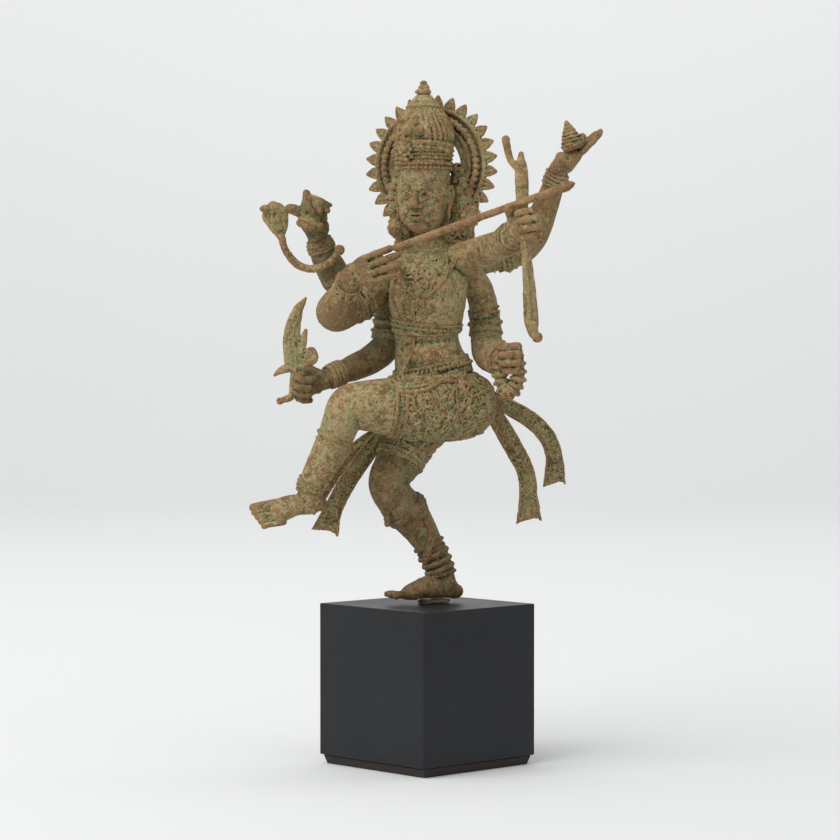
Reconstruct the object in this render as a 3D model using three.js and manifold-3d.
// A six-armed dancing archer in cast bronze on a painted wooden cube, in millimetres, +Z up.
// The part's origin is the centre of the plinth's underside, and -Y and +X are the normals of two plinth faces.
// The figure is cast in sections that meet at the edges of the dress and the jewellery.
// It is modelled in its own frame, a group turned on the plinth: x to the figure's left, -y forward, z up from the plinth's top.
import * as THREE from "three";
import { mergeVertices } from "three/addons/utils/BufferGeometryUtils.js";
import Module from "manifold-3d";

const wasm = await Module();
wasm.setup();

// ---- Driving dimensions ----
const PLINTH = 76.2; // a 3 inch cube
const BOARD = { height: 4.4, inset: 1.2, chamfer: 1.4 };
const PLINTH_TOP = BOARD.height + PLINTH;
const FIGURE_TURN = THREE.MathUtils.degToRad(46.75);
const GAP = 0.3; // left between neighbouring castings
const SMOOTHING = 0.22; // how far a triangle saved may move the surface
const STUD = { radius: 2.5, bore: 2.9, intoFoot: 8, belowSeat: 7 };
const SEAT = { radius: 9, depth: 12 }; // the counterbore that hides the nut
const BOSS = { x: 3.5, halfLength: 9, halfWidth: 6, height: 1.6 };
const HEAD_TURN = THREE.MathUtils.degToRad(-18);
const TORSO_TURN = THREE.MathUtils.degToRad(-20);
const HALO = { x: 2, y: 8, z: 219, turn: THREE.MathUtils.degToRad(-22.5), inner: 15.5, outer: 29.8, tip: 36.2 };
HALO.thickness = 2.6;
HALO.flames = 22;
HALO.from = THREE.MathUtils.degToRad(-50);
HALO.to = THREE.MathUtils.degToRad(230);

// ---- Looks ----
const bronze = new THREE.MeshStandardMaterial({ color: 0x8c7a55, roughness: 0.62, metalness: 0.55 });
const wornBronze = new THREE.MeshStandardMaterial({ color: 0x8a6a4a, roughness: 0.5, metalness: 0.6 });
const blackPaint = new THREE.MeshStandardMaterial({ color: 0x2c2d30, roughness: 0.55, metalness: 0 });
const boardBrown = new THREE.MeshStandardMaterial({ color: 0x3a3029, roughness: 0.9, metalness: 0 });
const zinc = new THREE.MeshStandardMaterial({ color: 0xb4b6b8, roughness: 0.35, metalness: 0.9 });

// ---- Solids ----
const vec = (a) => new THREE.Vector3(a[0], a[1], a[2]);

// A closed three.js geometry as a manifold solid, for joins and cuts.
function solidOf(geometry) {
  geometry.deleteAttribute("normal");
  geometry.deleteAttribute("uv");
  const merged = mergeVertices(geometry, 1e-4);
  const mesh = new wasm.Mesh({
    numProp: 3,
    vertProperties: new Float32Array(merged.attributes.position.array),
    triVerts: new Uint32Array(merged.index.array),
  });
  return new wasm.Manifold(mesh);
}

// The largest single body of a solid, as a three.js geometry.
function geometryOf(solid) {
  const bodies = solid.decompose().sort((a, b) => b.volume() - a.volume());
  const mesh = bodies[0].simplify(SMOOTHING).getMesh();
  const step = mesh.numProp;
  const positions = new Float32Array(mesh.numVert * 3);
  for (let i = 0; i < mesh.numVert; i++) {
    positions.set(mesh.vertProperties.subarray(i * step, i * step + 3), i * 3);
  }
  return new THREE.BufferGeometry()
    .setAttribute("position", new THREE.BufferAttribute(positions, 3))
    .setIndex(new THREE.BufferAttribute(new Uint32Array(mesh.triVerts), 1));
}

const join = (solids) => solids.reduce((a, b) => a.add(b));
const cut = (solid, cutters) => cutters.reduce((a, b) => a.subtract(b), solid);

// Stations are [x, y, z, half width] or [x, y, z, half width, half depth] along a limb.
function limbCurves(stations) {
  return {
    centre: new THREE.CatmullRomCurve3(stations.map(vec)),
    radii: new THREE.CatmullRomCurve3(stations.map((s) => new THREE.Vector3(s[3], s[4] ?? s[3], 0))),
  };
}

// A tube that follows the stations, with ends as round as asked. Its half width lies along side, carried along the limb.
function tube(stations, { sides = 10, steps = 10, cap = 2, side = [0, 0, 1], round = 1, grow = 0 } = {}) {
  const { centre, radii } = limbCurves(stations);
  const geometry = new THREE.CapsuleGeometry(1, 1, cap, sides, steps);
  const frames = new Map();
  let carried = vec(side).normalize();
  for (let i = 0; i <= steps; i++) {
    const t = i / steps;
    const along = centre.getTangent(t);
    carried = carried.clone().addScaledVector(along, -carried.dot(along)).normalize();
    const across = new THREE.Vector3().crossVectors(carried, along);
    frames.set(i, { at: centre.getPoint(t), along, side: carried, across, size: radii.getPoint(t) });
  }
  const position = geometry.attributes.position;
  const point = new THREE.Vector3();
  for (let i = 0; i < position.count; i++) {
    point.fromBufferAttribute(position, i);
    const middle = THREE.MathUtils.clamp(point.y, -0.5, 0.5);
    const past = point.y - middle;
    const f = frames.get(Math.round((middle + 0.5) * steps));
    const capLength = Math.min(f.size.x, f.size.y) * round + grow;
    point
      .copy(f.at)
      .addScaledVector(f.side, position.getX(i) * (f.size.x + grow))
      .addScaledVector(f.across, position.getZ(i) * (f.size.y + grow))
      .addScaledVector(f.along, past * capLength);
    position.setXYZ(i, point.x, point.y, point.z);
  }
  return solidOf(geometry);
}

// An ellipsoid with its own turn about Z.
function ball(centre, halves, { turn = 0, grow = 0, sides = 16, rings = 10 } = {}) {
  const geometry = new THREE.SphereGeometry(1, sides, rings);
  geometry.rotateX(Math.PI / 2);
  geometry.scale(halves[0] + grow, halves[1] + grow, halves[2] + grow);
  geometry.rotateZ(turn);
  geometry.translate(...centre);
  return solidOf(geometry);
}

// A turned piece: [radius, height] profile points about +Z, then stood along axis at foot.
function turned(profile, foot, axis = [0, 0, 1], sides = 20) {
  const geometry = new THREE.LatheGeometry(profile.map(([r, z]) => new THREE.Vector2(r, z)), sides);
  const stand = new THREE.Quaternion().setFromUnitVectors(new THREE.Vector3(0, 1, 0), vec(axis).normalize());
  geometry.applyQuaternion(stand);
  geometry.translate(...foot);
  return solidOf(geometry);
}

// A closed profile with its outside moved out by grow.
const fatter = (profile, grow) => {
  const top = Math.max(...profile.map(([, z]) => z));
  return profile.map(([r, z]) => [r && r + grow, z <= 0 ? z - grow : z >= top ? z + grow : z]);
};

// The stretch of a limb between two stations, given by their place in the list, with thickness added.
function stretch(stations, from, to, thickness) {
  const { centre, radii } = limbCurves(stations);
  const last = stations.length - 1;
  return [0, 1, 2].map((k) => {
    const t = (from + ((to - from) * k) / 2) / last;
    const at = centre.getPoint(t);
    const size = radii.getPoint(t);
    return [at.x, at.y, at.z, size.x + thickness, size.y + thickness];
  });
}

// A bracelet, garter or belt: a band round a limb, clear of it by the gap. Its ends are cut square.
function cuff(limb, from, to, thickness, grow = 0) {
  const { sides = 10, steps = 10, side } = limb.options ?? {};
  const stations = stretch(limb.stations, from, to, thickness + grow);
  const band = tube(stations, { sides: sides + 2, steps: 2, cap: 1, side });
  const start = vec(stations[0]);
  const end = vec(stations[2]);
  const along = end.clone().sub(start);
  const reach = 3 * stations[1][3];
  const slab = new THREE.BoxGeometry(reach, along.length() + 2 * grow, reach);
  slab.applyQuaternion(new THREE.Quaternion().setFromUnitVectors(new THREE.Vector3(0, 1, 0), along.normalize()));
  slab.translate(...start.add(end).multiplyScalar(0.5).toArray());
  return band.intersect(solidOf(slab)).subtract(tube(limb.stations, { sides, steps, side, grow: GAP - grow }));
}

// ---- Hands ----
const PALM = 11;
const FINGER = { lengths: [6.6, 5, 4], spacing: 3.9, shares: [0.95, 1.05, 1, 0.82] };

// A hand as tubes: toward is the way the knuckles lie from the wrist, palm the way the fingers curl,
// and side is 1 on a left hand and -1 on a right one. Curls are degrees at each finger's three joints.
function hand({ wrist, toward, palm, side, curls, splay = 0, finger = 2, thumb }, grow) {
  const ahead = vec(toward).normalize();
  const inward = vec(palm).addScaledVector(ahead, -vec(palm).dot(ahead)).normalize();
  const across = new THREE.Vector3().crossVectors(ahead, inward).multiplyScalar(side);
  const from = vec(wrist);
  const place = (a, b, c) =>
    from.clone().addScaledVector(ahead, a).addScaledVector(across, b).addScaledVector(inward, c);
  const station = (p, ...size) => [p.x, p.y, p.z, ...size];
  const solids = [
    tube(
      [station(place(-1, 0, 0), 5, 4.2), station(place(5, 0, 0), 7, 4), station(place(PALM, 0, 0), 7.4, 3)],
      { sides: 8, steps: 3, cap: 1, side: across.toArray(), grow },
    ),
  ];
  curls.forEach((bends, i) => {
    const place0 = i - 1.5;
    let at = place(PALM - 0.4 * place0 * place0, place0 * FINGER.spacing, 0);
    const lean = THREE.MathUtils.degToRad(-splay * place0);
    const forward = ahead.clone().multiplyScalar(Math.cos(lean)).addScaledVector(across, -Math.sin(lean));
    const stations = [station(at, finger)];
    let bend = 0;
    bends.forEach((degrees, k) => {
      bend += THREE.MathUtils.degToRad(degrees);
      at = at
        .clone()
        .addScaledVector(forward, Math.cos(bend) * FINGER.lengths[k] * FINGER.shares[i])
        .addScaledVector(inward, Math.sin(bend) * FINGER.lengths[k] * FINGER.shares[i]);
      stations.push(station(at, finger - 0.12 * (k + 1)));
    });
    solids.push(tube(stations, { sides: 6, steps: 4, cap: 1, grow }));
  });
  const root = place(3, -5, 1);
  const middle = root.clone().addScaledVector(vec(thumb[0]).normalize(), 6);
  const end = middle.clone().addScaledVector(vec(thumb[1]).normalize(), 6);
  solids.push(tube([station(root, 2.6), station(middle, 2.2), station(end, 1.8)], { sides: 6, steps: 4, cap: 1, grow }));
  return join(solids);
}

const FIST = [[70, 80, 60], [70, 80, 60], [70, 80, 60], [70, 80, 60]];

// ---- The body ----
const lateral = (turn) => [Math.cos(turn), Math.sin(turn), 0];
const TORSO = {
  stations: [
    [4.5, 0, 106, 19, 15.5],
    [2.6, 0, 116, 19.6, 14],
    [0.8, -0.5, 124, 17.8, 12.6],
    [0, 0, 131, 16.6, 11.6],
    [-0.4, -1, 137, 17, 12],
    [0, -2, 144, 18.6, 13],
    [0, -3, 152, 20, 14.4],
    [0.3, -2.5, 160, 20.4, 14.2],
    [0.8, -1, 168, 19.6, 12],
    [1.2, 0, 173.5, 17, 9.4],
    [1, 0, 178, 10.5, 7.4],
  ],
  options: { sides: 18, steps: 13, side: lateral(TORSO_TURN) },
};
const RAISED_THIGH = { stations: [[17, -4, 100, 18], [4, -9, 99, 17.5], [-8, -13, 98.5, 16.6], [-19, -16, 98.9, 15.2]] };
const STANDING_THIGH = { stations: [[0, 5, 94, 15], [-6, 4, 86, 14], [-11, 1.5, 77, 12.9], [-14, -0.5, 71, 12.2]] };
const RAISED_LEG = {
  stations: [
    [-8, -12, 98.5, 12.6],
    [-18, -15.5, 99, 13.4],
    [-29, -18, 99.5, 12.6],
    [-39, -19.5, 98.5, 11.4],
    [-42.6, -20, 91, 9.6],
    [-45.2, -19, 84, 9],
    [-49.5, -18, 75, 8.5],
    [-55, -16, 65.5, 6.8],
    [-58.8, -14, 58, 5.5],
    [-58.5, -13.5, 53, 5.3],
  ],
  options: { sides: 12, steps: 18 },
};
const RAISED_FOOT = {
  toes: [-0.93, -0.24, -0.2],
  across: [0.42, -0.3, -0.86],
  stations: [[-57, -12.5, 50.5, 5, 5], [-66, -16, 50, 5.6, 4.4], [-76, -19.5, 46.5, 6.6, 3.2]],
  firstToe: [-80, -19.5, 50.5],
};
const STANDING_LEG = {
  stations: [
    [-7, 3, 84, 11.6],
    [-14, -0.5, 72, 10.9],
    [-19.2, -6, 61.5, 10.4],
    [-16.4, -5, 53.5, 10.2],
    [-9.8, -1.5, 45.6, 10.2],
    [-3, 1, 36, 8.4],
    [1.6, 2, 28, 7],
    [6.4, 3, 17, 6.4],
    [8.6, 3.5, 9.5, 6.4],
  ],
  options: { sides: 12, steps: 18 },
};
const STANDING_FOOT = {
  toes: [-0.83, -0.5, 0.06],
  across: [-0.5, 0.83, 0],
  stations: [[11, 5, 7.4, 5.2, 5.1], [2, 0, 7.4, 6.4, 5], [-8, -6.5, 5.8, 7, 3.3]],
  firstToe: [-10, -13, 4.9],
};
const TOE = { count: 5, spacing: 2.7, length: 6.5, radius: 1.75 };

// A foot: heel and instep as one tube, and five toes in a row.
function foot({ stations, toes, across, firstToe }, grow = 0) {
  const solids = [tube(stations, { sides: 10, steps: 5, side: across, grow })];
  for (let i = 0; i < TOE.count; i++) {
    const root = vec(firstToe).addScaledVector(vec(across), i * TOE.spacing);
    const reach = TOE.length * (1 - 0.07 * Math.abs(i - 1));
    const tip = root.clone().addScaledVector(vec(toes), reach);
    const inside = root.clone().addScaledVector(vec(toes), -4);
    solids.push(tube([inside, tip].map((p) => [p.x, p.y, p.z, TOE.radius]), { sides: 6, steps: 1, cap: 1, grow }));
  }
  return join(solids);
}

const torso = (grow = 0) => tube(TORSO.stations, { ...TORSO.options, grow });

// The dhoti is cast with the hips: the seat, and both thighs down to their hems.
function hips(grow = 0) {
  return join([
    ball([7, 1, 101.5], [20.6, 18, 18.6], { grow }),
    tube(RAISED_THIGH.stations, { sides: 16, steps: 5, round: 0.06, grow }),
    tube(STANDING_THIGH.stations, { sides: 16, steps: 5, round: 0.06, grow }),
  ]);
}

const raisedLeg = (grow = 0) => tube(RAISED_LEG.stations, { ...RAISED_LEG.options, grow }).add(foot(RAISED_FOOT, grow));
const standingLeg = (grow = 0) => {
  const leg = tube(STANDING_LEG.stations, { ...STANDING_LEG.options, grow }).add(foot(STANDING_FOOT, grow));
  return leg;
};

// ---- Head, hair, crown and halo ----
function head(grow = 0) {
  const turn = HEAD_TURN;
  const forward = new THREE.Vector3(Math.sin(turn), -Math.cos(turn), 0);
  const out = (x, y, z, step) => [x + forward.x * step, y + forward.y * step, z];
  return join([
    ball([-1.5, -5, 204.5], [13.4, 14.4, 18], { turn, grow }),
    ball(out(-1.5, -5, 194, 3.5), [10.6, 9.6, 9.4], { turn, grow, sides: 12, rings: 8 }),
    ball(out(-1.5, -5, 200.5, 14.6), [2, 2.6, 4], { turn, grow, sides: 8, rings: 6 }),
    tube([[1, 0.5, 175, 6.8], [0.4, -0.5, 186, 6.3], [-0.6, -2, 196, 6.3]], { sides: 12, steps: 3, grow }),
    ...[-1, 1].map((s) =>
      ball([-1.5 + s * 13.4 * Math.cos(turn), -3.5 + s * 13.4 * Math.sin(turn), 201.5], [1.8, 3, 5], {
        turn,
        grow,
        sides: 8,
        rings: 6,
      }),
    ),
  ]);
}

const CROWN = { x: -1.8, y: -2.6, foot: 216.5 };
const crownProfile = [
  [0, 0], [14.6, 0], [15.4, 1.6], [15.2, 6.4], [14.4, 8], [14.3, 13], [13.4, 19], [11.2, 25], [8.6, 30],
  [8.6, 33.6], [7.4, 34.6], [5.6, 37.6], [4, 39.4], [0, 39.4],
];
const finialProfile = [[0, 0], [3, 0], [3.6, 1], [2.4, 2], [2.7, 2.8], [1.5, 3.8], [1.7, 4.8], [0.9, 6], [0, 6.2]];
const crown = (grow = 0) => turned(fatter(crownProfile, grow), [CROWN.x, CROWN.y, CROWN.foot], [0, 0, 1], 24);
const finial = (grow = 0) => turned(fatter(finialProfile, grow), [CROWN.x, CROWN.y, CROWN.foot + 39.4 + GAP]);

// Locks that fall behind both ears and tie the halo to the back of the head.
function hair(grow = 0) {
  return join([
    tube([[15.5, 2, 216, 4.5], [18.4, 2.5, 206, 6.4], [19.5, 3, 195, 6.6], [18, 5, 183, 5.4]], { sides: 10, steps: 6, grow }),
    tube([[-14.5, 7, 214, 3.5], [-16, 8, 204, 4.4], [-15, 7.5, 193, 4.6], [-12.5, 7, 184, 4]], { sides: 10, steps: 6, grow }),
    tube([[14, 9, 205, 4.5], [1.5, 12, 206, 5], [-13, 10.5, 205, 3.8]], { sides: 10, steps: 5, grow }),
  ]);
}

// The flame ring's outline, one pointed flame after another, open below.
function haloShape(grow = 0) {
  const shape = new THREE.Shape();
  const step = (HALO.to - HALO.from) / HALO.flames;
  const polar = (r, a) => [r * Math.cos(a), r * Math.sin(a)];
  const end = grow / HALO.outer;
  shape.moveTo(...polar(HALO.inner - grow, HALO.from - end));
  shape.lineTo(...polar(HALO.outer + grow, HALO.from - end));
  for (let i = 0; i < HALO.flames; i++) {
    const a = HALO.from + i * step;
    shape.lineTo(...polar(HALO.outer + grow, a + 0.1 * step));
    shape.lineTo(...polar(HALO.tip + grow, a + 0.5 * step));
    shape.lineTo(...polar(HALO.outer + grow, a + 0.9 * step));
  }
  shape.lineTo(...polar(HALO.outer + grow, HALO.to + end));
  shape.lineTo(...polar(HALO.inner - grow, HALO.to + end));
  shape.absarc(0, 0, HALO.inner - grow, HALO.to + end, HALO.from - end, true);
  return shape;
}

function halo(grow = 0) {
  const depth = HALO.thickness + 2 * grow;
  const geometry = new THREE.ExtrudeGeometry(haloShape(grow), { depth, bevelEnabled: false, curveSegments: 36 });
  geometry.translate(0, 0, -depth / 2);
  geometry.rotateX(Math.PI / 2);
  geometry.rotateZ(HALO.turn);
  geometry.translate(HALO.x, HALO.y, HALO.z);
  return solidOf(geometry);
}

// ---- Arms, from the shoulder to the wrist, and the hands at their ends ----
const ARMS = {
  draw: {
    stations: [
      [-12, 3, 171, 7.4], [-20, 4, 163, 7.8], [-28, 2.5, 155, 8], [-37, -1, 149, 8.8], [-45, -7, 145.6, 9.7],
      [-44.5, -15, 148.5, 8.9], [-41.4, -22, 153.5, 7.2], [-38.6, -27.5, 159, 5.6],
    ],
    hand: {
      wrist: [-38.8, -29, 162.4], toward: [0.93, -0.1, 0.34], palm: [0.12, 1, 0], side: -1, finger: 1.6,
      curls: [[4, 14, 16], [2, 12, 14], [0, 10, 14], [0, 10, 12]], splay: 5, thumb: [[0.7, 0.6, 0.4], [0.9, 0.2, 0.3]],
    },
  },
  drum: {
    stations: [
      [-12, 15, 172, 6.6], [-22, 18.5, 166, 7], [-33, 20, 161, 7.2], [-43.5, 19.5, 161, 8], [-49, 17, 169, 7.6],
      [-52.4, 14, 176, 6.6], [-54.8, 12, 183, 5.4],
    ],
    hand: {
      wrist: [-55, 11.6, 184], toward: [-0.25, -0.25, 0.93], palm: [0.2, -0.95, 0.1], side: -1,
      curls: [[35, 50, 40], [35, 50, 40], [35, 50, 40], [35, 50, 40]], thumb: [[0.6, -0.5, 0.6], [0.2, -0.8, 0.6]],
    },
  },
  sword: {
    stations: [
      [-15, 12, 166, 6.6], [-18, 14.5, 155, 7.1], [-19.4, 15.5, 143, 7.2], [-20.5, 15, 130, 7.4], [-27, 11.5, 122.8, 7.4],
      [-37, 5, 118, 6.5], [-44.5, 0, 115, 5.4], [-49.5, -3, 113, 4.9],
    ],
    hand: {
      wrist: [-50.5, -3.4, 112.6], toward: [-0.86, -0.32, -0.4], palm: [-0.2, -0.9, 0.3], side: -1,
      curls: FIST, thumb: [[-0.7, -0.6, 0.4], [-0.9, -0.2, 0.1]],
    },
  },
  bow: {
    stations: [
      [16, -3, 172, 8], [23.5, -15, 174, 8], [31, -31, 176.5, 7.6], [36, -43, 178.5, 7.2], [40.2, -52, 181, 5.9],
    ],
    hand: {
      wrist: [40.6, -52.8, 181.6], toward: [0.62, -0.74, 0.26], palm: [-0.8, -0.6, 0], side: 1,
      curls: FIST, thumb: [[-0.3, -0.7, 0.6], [0.3, -0.8, 0.3]],
    },
  },
  conch: {
    stations: [
      [18, 12, 170, 7], [27, 15.5, 171.5, 6.8], [36, 17.5, 173.5, 6.6], [46, 18, 176.5, 7], [53, 17, 183.5, 7.5],
      [58.5, 15, 196, 6.8], [63, 11, 208, 5.5], [66, 8, 216, 4.7],
    ],
    hand: {
      wrist: [66.2, 7.8, 217], toward: [0.7, -0.06, 0.72], palm: [-0.55, -0.3, 0.78], side: 1,
      curls: [[-6, 4, 4], [-4, 4, 4], [-4, 4, 4], [-2, 4, 4]], thumb: [[0.25, 0.5, 0.9], [0.3, 0.2, 0.9]],
    },
  },
  noose: {
    stations: [
      [21, 9, 168, 7], [26.5, 11.5, 156, 7.2], [29, 12, 143, 7.3], [30, 9, 130.5, 8], [31.4, 0, 124.5, 8.2],
      [34.4, -11, 122.6, 7.2], [37.6, -19.6, 122, 5.8],
    ],
    hand: {
      wrist: [38.2, -20.6, 122], toward: [0.62, -0.78, 0.06], palm: [-0.8, -0.6, 0], side: 1,
      curls: FIST, thumb: [[-0.5, -0.8, 0.5], [0.2, -0.9, 0.2]],
    },
  },
};
const armOptions = { sides: 10, steps: 10 };
const arm = (key, grow = 0) => tube(ARMS[key].stations, { ...armOptions, grow }).add(hand(ARMS[key].hand, grow));

// ---- What the hands hold ----
const BOW = [
  [45, -57.5, 221, 1.4], [45, -58, 214, 3.1, 2], [45.3, -58.4, 205, 3.3, 2.2], [46, -58.6, 190, 2.6, 2.2],
  [47.6, -58.5, 172, 2.5, 2.2], [49, -57.5, 156, 3.2, 2], [50, -56, 142, 3.6, 1.9], [51.2, -54.5, 134.5, 2.3, 1.8],
];
const BOW_FORK = [[43.4, -58, 214, 1.9], [39.6, -57, 219, 1.7], [37.8, -56, 227, 1.9]];
const bow = (grow = 0) => {
  const limb = tube(BOW, { sides: 8, steps: 14, side: [1, 0, 0], grow });
  const fork = tube(BOW_FORK, { sides: 8, steps: 4, grow });
  return join([limb, fork, ball([53, -54, 133.2], [2.7, 2.2, 2.7], { grow, sides: 10, rings: 6 })]);
};

const ARROW = { tail: [-16.6, -33.5, 176.6], tip: [69.9, -77, 206.1], radius: 1.9, bud: 2.6, budLength: 8 };
function arrow(grow = 0) {
  const along = vec(ARROW.tip).sub(vec(ARROW.tail));
  const length = along.length();
  const r = ARROW.radius;
  const neck = length - ARROW.budLength;
  const profile = [
    [0, 0], [r * 0.8, 0], [r, 2], [r, neck], [ARROW.bud, neck + 1], [ARROW.bud, neck + 3.4], [0.6, length - 0.3], [0, length],
  ];
  return turned(fatter(profile, grow), ARROW.tail, along.toArray(), 12);
}

const SWORD = {
  blade: [[-64.4, -11, 119, 4, 1.5], [-66.6, -11, 127, 4.2, 1.5], [-67, -11, 136, 3.9, 1.4], [-64.4, -11, 146, 2.6, 1.2], [-60.4, -11, 152.4, 0.9]],
  prong: [[-64, -11, 123, 2.2, 1.3], [-61.8, -11, 130, 1.8, 1.2], [-60.4, -11, 135.4, 0.9]],
  curl: [[-62, -11, 121.4, 1.8, 1.4], [-58.6, -11, 122, 1.9, 1.4], [-57.6, -11, 125.6, 1.6, 1.3]],
  guard: [[-73.6, -11, 115.6, 1], [-69, -11, 117.4, 1.8, 1.6], [-60.5, -11, 118.2, 1.9, 1.7]],
  grip: [[-64.6, -11, 118, 1.7], [-64.4, -10.5, 108, 1.7], [-64, -10, 99.5, 1.9]],
};
const sword = (grow = 0) =>
  join(Object.values(SWORD).map((s) => tube(s, { sides: 8, steps: 6, cap: 1, side: [1, 0, 0.1], grow })));

const DRUM = { foot: [-59, 1, 189.6], axis: [0.43, 0.05, 0.9], radius: 6.5, waist: 3.2, height: 14.2 };
function drum(grow = 0) {
  const { radius, waist, height } = DRUM;
  const middle = height / 2;
  const profile = [
    [0, 0], [radius, 0], [radius, 1.6], [waist, middle - 1.4], [waist, middle + 1.4],
    [radius, height - 1.6], [radius, height], [0, height],
  ];
  return turned(fatter(profile, grow), DRUM.foot, DRUM.axis, 16);
}

const COBRA = {
  body: [[-53, 13, 169, 2], [-60, 10, 167.4, 2.2], [-67, 8, 171.2, 2.1], [-71, 6, 177.6, 2], [-72.6, 5, 184, 2.1]],
  hood: [[-72.6, 5, 184, 2.2, 1.8], [-74.4, 4, 190.4, 3.8, 2], [-77, 3, 195, 5.4, 2], [-80, 2, 198.2, 3.6, 1.8]],
};
const cobra = (grow = 0) =>
  join([
    tube(COBRA.body, { sides: 8, steps: 8, grow }),
    tube(COBRA.hood, { sides: 8, steps: 5, side: [0.9, 0, 0.4], grow }),
  ]);

const CONCH = { foot: [73.8, 1.5, 229.2], axis: [-0.36, -0.02, 0.93] };
const conchProfile = [[0, 0], [3.6, 0], [5.2, 2.6], [5, 5.6], [3.9, 8.6], [2.4, 11.8], [0.8, 14.8], [0, 15.4]];
const conch = (grow = 0) => turned(fatter(conchProfile, grow), CONCH.foot, CONCH.axis, 14);

const NOOSE = { centre: [39, -29.5, 118], across: 6.2, tall: 12.6, cord: 2.6, turn: THREE.MathUtils.degToRad(-25) };
function noose(grow = 0) {
  const geometry = new THREE.TorusGeometry(1, 0, 8, 22);
  const position = geometry.attributes.position;
  const uv = geometry.attributes.uv;
  for (let i = 0; i < position.count; i++) {
    const round = 2 * Math.PI * uv.getX(i);
    const about = 2 * Math.PI * uv.getY(i);
    const out = (NOOSE.cord + grow) * Math.cos(about);
    const x = (NOOSE.across + out) * Math.cos(round);
    const z = (NOOSE.tall + out) * Math.sin(round);
    position.setXYZ(i, x, -(NOOSE.cord + grow) * Math.sin(about), z);
  }
  geometry.rotateZ(NOOSE.turn);
  geometry.translate(...NOOSE.centre);
  return solidOf(geometry);
}

// ---- Sashes: flat bands whose faces look forward ----
const SASHES = {
  left_inner: [
    [20, 15, 114, 2.4, 1.4], [28, 17.5, 104, 3.4, 1.4], [36, 19.5, 91, 4.6, 1.3], [43.5, 20.5, 78, 4.9, 1.3],
    [50, 19.5, 65, 4.6, 1.3], [51.4, 18, 52, 4.8, 1.2], [51.6, 16.5, 42, 5.6, 1.2],
  ],
  left_outer: [[33, 22.8, 103, 3, 1.3], [42, 24.5, 97.6, 4.2, 1.3], [53, 27, 91, 4.5, 1.3], [61.5, 28, 82, 4.5, 1.3], [65, 28, 71, 4.6, 1.2], [65, 26.5, 60, 5, 1.2]],
  right_inner: [[-12, 13, 92, 4, 1.3], [-24, 11, 82, 4.2, 1.3], [-33.4, 7, 70, 4.4, 1.3], [-41.4, 2, 58, 4.6, 1.3], [-47, -1, 47, 4.9, 1.2], [-50.4, -4, 37.6, 6, 1.2]],
  right_outer: [[-10, 17.5, 93, 3.6, 1.2], [-25, 16, 84.5, 3.6, 1.2], [-37, 14, 76, 3.6, 1.2], [-46, 11, 65.6, 3.4, 1.2], [-53, 8, 54.5, 3.2, 1.1], [-57.6, 6, 46.6, 1.8, 1]],
};
const SASH_SIDE = { left_inner: [0.8, 0, 0.6], left_outer: [0.5, 0, 0.86], right_inner: [0.7, 0, -0.7], right_outer: [0.6, 0, -0.8] };
const sash = (key, grow = 0) => tube(SASHES[key], { sides: 8, steps: 10, cap: 1, side: SASH_SIDE[key], grow });

// ---- Plinth and its fixings, in the part's frame ----
function plinthBlock() {
  const block = new THREE.BoxGeometry(PLINTH, PLINTH, PLINTH - GAP);
  block.translate(0, 0, (PLINTH - GAP) / 2 + BOARD.height + GAP);
  const floor = BOARD.height;
  const seat = turned([[0, -1], [SEAT.radius, -1], [SEAT.radius, SEAT.depth], [0, SEAT.depth]], [0, 0, floor], [0, 0, 1], 24);
  const bore = turned([[0, 0], [STUD.bore, 0], [STUD.bore, PLINTH + 1], [0, PLINTH + 1]], [0, 0, floor], [0, 0, 1], 20);
  return cut(solidOf(block), [seat, bore]);
}

function baseBoard() {
  const half = PLINTH / 2 - BOARD.inset;
  const low = half - BOARD.chamfer;
  const shape = new THREE.Shape();
  [[-low, -low], [low, -low], [low, low], [-low, low]].forEach(([x, y], i) => (i ? shape.lineTo(x, y) : shape.moveTo(x, y)));
  const geometry = new THREE.ExtrudeGeometry(shape, { depth: BOARD.height, bevelEnabled: false });
  const position = geometry.attributes.position;
  for (let i = 0; i < position.count; i++) {
    const spread = position.getZ(i) > BOARD.height / 2 ? half / low : 1;
    position.setXYZ(i, position.getX(i) * spread, position.getY(i) * spread, position.getZ(i));
  }
  return solidOf(geometry);
}

const seatZ = BOARD.height + SEAT.depth;
const washer = () => turned([[STUD.bore, 0], [6.2, 0], [6.2, 1], [STUD.bore, 1], [STUD.bore, 0]], [0, 0, seatZ - 1 - GAP], [0, 0, 1], 20);
function nut() {
  const low = seatZ - 1 - 2 * GAP - 4;
  const bore = STUD.radius + GAP;
  const hexagon = turned([[0, 0], [4.6, 0], [4.6, 4], [0, 4]], [0, 0, low], [0, 0, 1], 6);
  return hexagon.subtract(turned([[0, -1], [bore, -1], [bore, 5], [0, 5]], [0, 0, low], [0, 0, 1], 16));
}
const studLow = seatZ - STUD.belowSeat - PLINTH_TOP; // in the figure's frame
function stud(grow = 0) {
  const r = STUD.radius + grow;
  const top = STUD.intoFoot + grow;
  return turned([[0, studLow], [r, studLow], [r, top], [0, top]], [0, 0, 0], [0, 0, 1], 16);
}
function boss(grow = 0) {
  const pad = new THREE.CylinderGeometry(1, 1.06, BOSS.height, 24);
  pad.rotateX(Math.PI / 2);
  pad.scale(BOSS.halfLength + grow, BOSS.halfWidth + grow, 1 + grow);
  pad.rotateZ(THREE.MathUtils.degToRad(31));
  pad.translate(BOSS.x, 1, GAP + BOSS.height / 2);
  return solidOf(pad);
}

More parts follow.
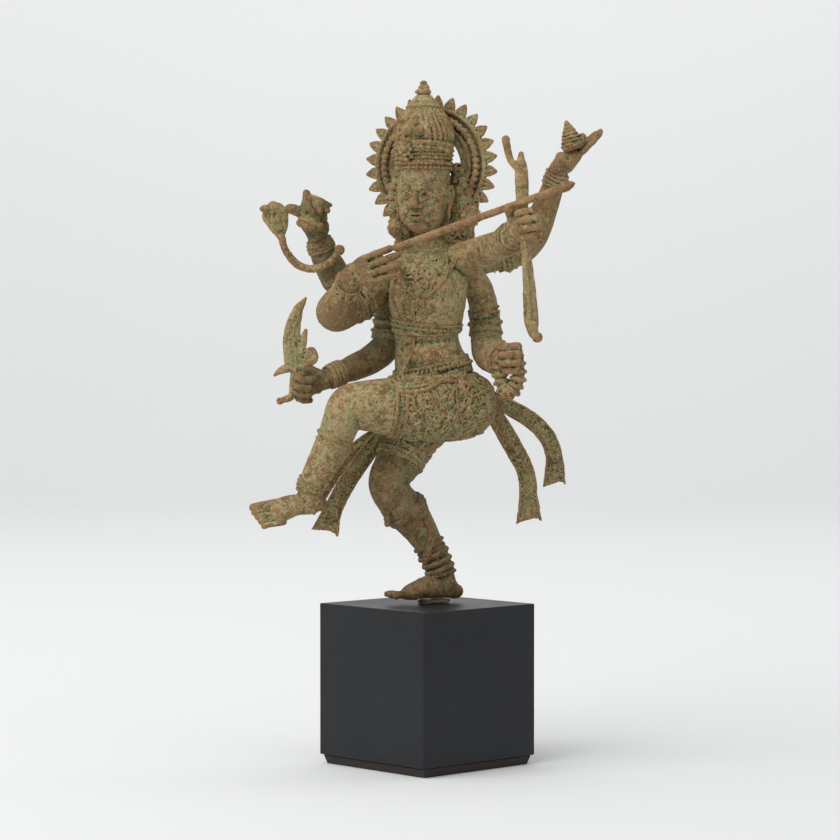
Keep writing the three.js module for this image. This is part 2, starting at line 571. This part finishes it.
// ---- Small pieces of the dress ----
const discProfile = [[0, 0], [4.6, 0], [5.2, 1], [4.4, 2.4], [2, 3.2], [0, 3.2]];
const leftEarring = (grow = 0) => turned(fatter(discProfile, grow), [21.5, -3.6, 193.6], [0.3, -0.95, 0], 16);
const rightEarring = (grow = 0) => ball([-16.2, -5, 187.6], [3.4, 3.4, 4.4], { grow, sides: 12, rings: 8 });
const bib = (grow) => ball([-1, -9, 171], [13.5 + grow, 10 + grow, 12 + grow]);
const necklace = (grow = 0) => bib(grow).intersect(torso(1.7 + grow)).subtract(torso(GAP - grow));

const bracelet = (key, from, to, thickness) => [{ stations: ARMS[key].stations, options: armOptions }, from, to, thickness];
// Each band lies between two places on its limb, counted in stations.
const CUFFS = [
  ["draw_bracelet", ...bracelet("draw", 6.1, 6.8, 1.3)],
  ["draw_armlet", ...bracelet("draw", 2.2, 3, 1.2)],
  ["drum_bracelet", ...bracelet("drum", 5.2, 5.9, 1.2)],
  ["sword_bracelet", ...bracelet("sword", 6, 6.8, 1.3)],
  ["sword_armlet", ...bracelet("sword", 2.1, 2.8, 1.2)],
  ["bow_bracelet", ...bracelet("bow", 3.3, 3.85, 1.3)],
  ["conch_bracelet", ...bracelet("conch", 6.2, 6.8, 1.3)],
  ["conch_armlet", ...bracelet("conch", 2.1, 2.7, 1.2)],
  ["noose_bracelet", ...bracelet("noose", 5.1, 5.8, 1.3)],
  ["noose_armlet", ...bracelet("noose", 1.8, 2.6, 1.2)],
  ["raised_garter", RAISED_LEG, 4.8, 5.3, 1.2],
  ["raised_anklet", RAISED_LEG, 7.5, 8.1, 1.4],
  ["standing_garter", STANDING_LEG, 3.7, 4.1, 1.2],
  ["standing_anklet", STANDING_LEG, 6.3, 7.1, 1.6],
];

// ---- Assembly ----
const statue = new THREE.Group();
const figure = new THREE.Group();
figure.rotation.z = FIGURE_TURN;
figure.position.z = PLINTH_TOP;
statue.add(figure);

function add(group, name, solid, material) {
  const mesh = new THREE.Mesh(geometryOf(solid), material);
  mesh.name = name;
  group.add(mesh);
}

add(statue, "plinth_block", plinthBlock(), blackPaint);
add(statue, "base_board", baseBoard(), boardBrown);
add(statue, "mounting_washer", washer(), zinc);
add(statue, "mounting_nut", nut(), zinc);

// The castings in order: each one stands clear, by the gap, of every piece before it.
const placed = [];
function cast(name, build, material) {
  const solid = build(0);
  const { min, max } = solid.boundingBox();
  const near = placed.filter(({ box }) => [0, 1, 2].every((k) => box.min[k] < max[k] && box.max[k] > min[k]));
  add(figure, name, cut(solid, near.map((p) => p.grown)), material);
  const grown = build(GAP);
  placed.push({ grown, box: grown.boundingBox() });
}

cast("mounting_stud", stud, zinc);
cast("foot_boss", boss, wornBronze);
cast("arrow", arrow, wornBronze);
cast("bow", bow, bronze);
cast("sword", sword, bronze);
cast("hand_drum", drum, bronze);
cast("conch", conch, bronze);
cast("noose", noose, bronze);
cast("hips_and_dhoti", hips, bronze);
cast("torso", torso, bronze);
cast("chest_band", (grow) => cuff(TORSO, 3.9, 4.6, 1.3, grow), wornBronze);
cast("waist_belt", (grow) => cuff(TORSO, 0.8, 1.5, 1.8, grow), wornBronze);
cast("necklace", necklace, wornBronze);
cast("crown", crown, bronze);
cast("crown_finial", finial, wornBronze);
cast("head", head, bronze);
cast("halo", halo, bronze);
cast("hair_locks", hair, bronze);
cast("left_earring", leftEarring, wornBronze);
cast("right_earring", rightEarring, wornBronze);
cast("raised_leg", raisedLeg, bronze);
cast("standing_leg", standingLeg, bronze);
for (const key of Object.keys(ARMS)) {
  cast(`${key}_arm`, (grow) => arm(key, grow), bronze);
}
cast("cobra", cobra, bronze);
for (const [name, limbOf, from, to, thickness] of CUFFS) {
  cast(name, (grow) => cuff(limbOf, from, to, thickness, grow), wornBronze);
}
for (const key of Object.keys(SASHES)) {
  cast(`sash_${key}`, (grow) => sash(key, grow), bronze);
}

export default statue;
